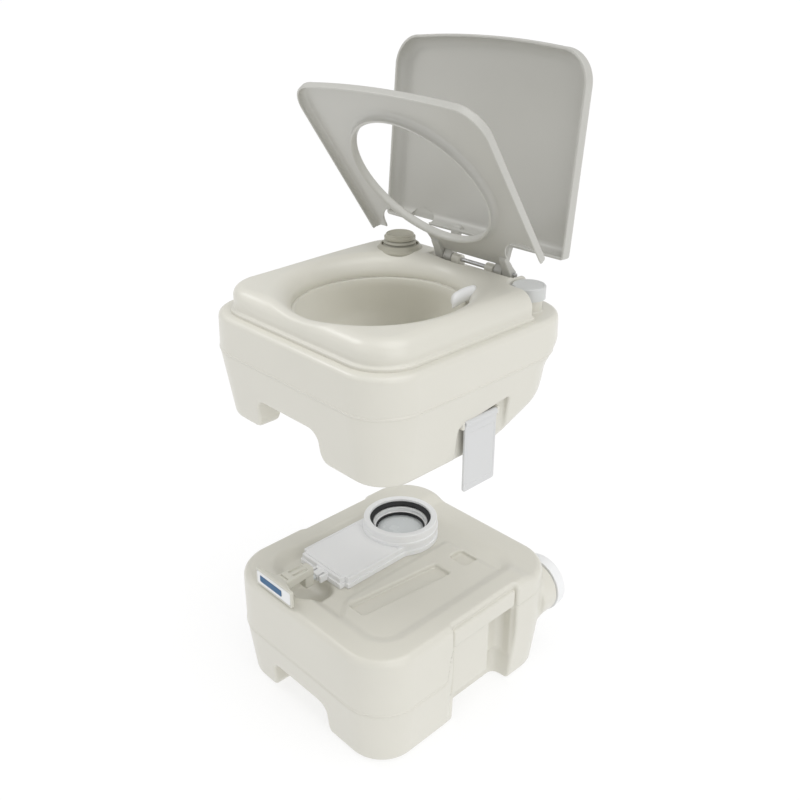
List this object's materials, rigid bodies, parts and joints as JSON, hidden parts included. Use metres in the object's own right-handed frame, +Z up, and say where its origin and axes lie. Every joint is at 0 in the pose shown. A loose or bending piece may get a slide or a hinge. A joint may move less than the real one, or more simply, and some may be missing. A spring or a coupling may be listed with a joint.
{
  "type": "portable camp toilet",
  "caption": "Portable camp toilet that splits for emptying: flush section with seat, lid, pump and side latches over a waste tank with slide valve and pour-out spout.",
  "frame": {"origin": "middle of the waste tank's base, on the surface it stands on", "axes": "+Z up; -Y is the front, where the valve's pull handle is; +X is at the viewer's right when facing the front"},
  "size_m": [0.365, 0.4185, 0.9492],
  "materials": {
    "tank": "satin blow-moulded polyethylene",
    "cover": "satin moulded polypropylene",
    "white": "smooth white moulded plastic",
    "blade": "smooth light grey moulded plastic",
    "handle": "satin grey-beige moulded plastic",
    "label": "plain blue printed panel with no lettering",
    "seal": "black seal rubber",
    "steel": "plain stainless steel",
    "pump": "satin grey-beige moulded plastic",
    "pump_rubber": "flexible grey-beige rubber",
    "inner": "plain moulded plastic, inside the tank",
    "hose": "clear grey flexible hose, inside the tank",
    "capgrey": "light grey moulded plastic",
    "latch": "light grey moulded plastic"
  },
  "bodies": {
    "waste_section": {"waste_tank": "tank", "valve_housing": "white", "valve_cover": "white", "valve_screws": "steel", "valve_gasket": "seal", "valve_collar": "white", "collar_lip_seal": "seal", "throat_seal": "seal"},
    "valve_slider": {"valve_blade": "blade", "valve_handle": "handle", "handle_plate": "white", "handle_label": "label"},
    "spout_cover": {"spout_cap": "white", "spout_gasket": "seal"},
    "flush_section": {"flush_tank": "tank", "bowl_deck": "tank", "hinge_pin": "steel", "pump_flange": "pump", "pump_bellows": "pump_rubber", "pump_barrel": "inner", "pump_foot_valve": "inner", "pump_intake_tube": "inner", "flush_hose": "hose", "flush_nozzle": "white", "outlet_gasket": "seal", "latch_pin_right": "steel", "latch_pin_left": "steel"},
    "pump_button": {"pump_knob": "pump", "pump_plunger": "inner"},
    "fill_cover": {"fill_cap": "capgrey", "fill_cap_gasket": "seal"},
    "seat_cover": {"seat": "cover"},
    "lid_cover": {"lid": "cover"},
    "right_latch": {"latch_right": "latch"},
    "left_latch": {"latch_left": "latch"}
  },
  "joints": [
    {"name": "lift", "type": "slide", "parent": "waste_section", "child": "flush_section", "axis": [0, 0, 1], "range_m": [-0.2678, 0]},
    {"name": "valve_pull", "type": "slide", "parent": "waste_section", "child": "valve_slider", "axis": [0, -1, 0], "range_m": [0, 0.084]},
    {"name": "spout_cap_turn", "type": "hinge", "parent": "waste_section", "child": "spout_cover", "pos_m": [0.128, 0.22, 0.112], "axis": [0, 1, 0], "range_deg": [0, 420]},
    {"name": "seat_hinge", "type": "hinge", "parent": "flush_section", "child": "seat_cover", "pos_m": [0, 0.145, 0.651], "axis": [-1, 0, 0], "range_deg": [-56, 34]},
    {"name": "lid_hinge", "type": "hinge", "parent": "seat_cover", "child": "lid_cover", "pos_m": [0, 0.145, 0.651], "axis": [-1, 0, 0], "range_deg": [-39, 0]},
    {"name": "pump_press", "type": "slide", "parent": "flush_section", "child": "pump_button", "axis": [0, 0, -1], "range_m": [0, 0.012], "stiffness_N_per_m": 400, "springref_m": -0.004, "deforming": ["pump_bellows"]},
    {"name": "fill_cap_turn", "type": "hinge", "parent": "flush_section", "child": "fill_cover", "pos_m": [0.133, 0.134, 0.64], "axis": [0, 0, 1], "range_deg": [0, 420]},
    {"name": "latch_right_swing", "type": "hinge", "parent": "flush_section", "child": "right_latch", "pos_m": [0.175, -0.003, 0.514], "axis": [0, -1, 0], "range_deg": [0, 95]},
    {"name": "latch_left_swing", "type": "hinge", "parent": "flush_section", "child": "left_latch", "pos_m": [-0.175, -0.003, 0.514], "axis": [0, 1, 0], "range_deg": [0, 95]}
  ]
}
